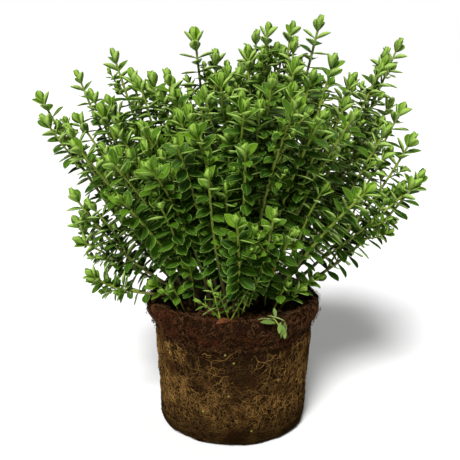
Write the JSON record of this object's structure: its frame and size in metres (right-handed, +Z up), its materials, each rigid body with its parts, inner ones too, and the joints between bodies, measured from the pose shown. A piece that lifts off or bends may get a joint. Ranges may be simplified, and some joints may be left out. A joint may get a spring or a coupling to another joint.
{
  "type": "hebe plant with root ball",
  "caption": "Bushy small-leaved hebe lifted from its nursery pot, standing on the root ball that the pot moulded.",
  "frame": {"origin": "centre of the root ball's flat foot, on the surface it stands on", "axes": "+Z up along the root ball's axis, -Y towards the side the picture shows, +X to the right seen from that side"},
  "size_m": [0.3695, 0.291, 0.397],
  "materials": {
    "compost": "dark moist compost held by a mat of fine golden-brown roots",
    "foliage": "satin green leaves with thin pale margins on yellow-green stems",
    "dry_leaf": "matt, dry and reddish brown",
    "faded_leaf": "matt, faded yellow-green"
  },
  "bodies": {
    "root": {"root_ball": "compost", "dropped_leaf_dry": "dry_leaf", "dropped_leaf_green": "faded_leaf", "dropped_leaf_hanging": "faded_leaf", "shoot_left_1": "foliage", "shoot_left_2": "foliage", "shoot_left_3": "foliage", "shoot_left_4": "foliage", "shoot_left_5": "foliage", "shoot_left_6": "foliage", "shoot_left_7": "foliage", "shoot_left_8": "foliage", "shoot_left_9": "foliage", "shoot_left_10": "foliage", "shoot_left_11": "foliage", "shoot_left_12": "foliage", "shoot_left_13": "foliage", "shoot_left_14": "foliage", "shoot_top_1": "foliage", "shoot_top_2": "foliage", "shoot_top_3": "foliage", "shoot_top_4": "foliage", "shoot_top_5": "foliage", "shoot_top_6": "foliage", "shoot_top_7": "foliage", "shoot_top_8": "foliage", "shoot_top_9": "foliage", "shoot_top_10": "foliage", "shoot_top_11": "foliage", "shoot_top_12": "foliage", "shoot_top_13": "foliage", "shoot_top_14": "foliage", "shoot_right_1": "foliage", "shoot_right_2": "foliage", "shoot_right_3": "foliage", "shoot_right_4": "foliage", "shoot_right_5": "foliage", "shoot_right_6": "foliage", "shoot_right_7": "foliage", "shoot_right_8": "foliage", "shoot_right_9": "foliage", "shoot_right_10": "foliage", "shoot_right_11": "foliage", "shoot_front_1": "foliage", "shoot_front_2": "foliage", "shoot_front_3": "foliage", "shoot_front_4": "foliage", "shoot_back_1": "foliage", "shoot_back_2": "foliage", "shoot_back_3": "foliage", "shoot_back_4": "foliage", "shoot_back_5": "foliage", "shoot_back_6": "foliage", "shoot_back_7": "foliage", "shoot_back_8": "foliage", "shoot_back_9": "foliage", "shoot_back_10": "foliage", "shoot_back_11": "foliage", "shoot_back_12": "foliage"}
  },
  "joints": []
}
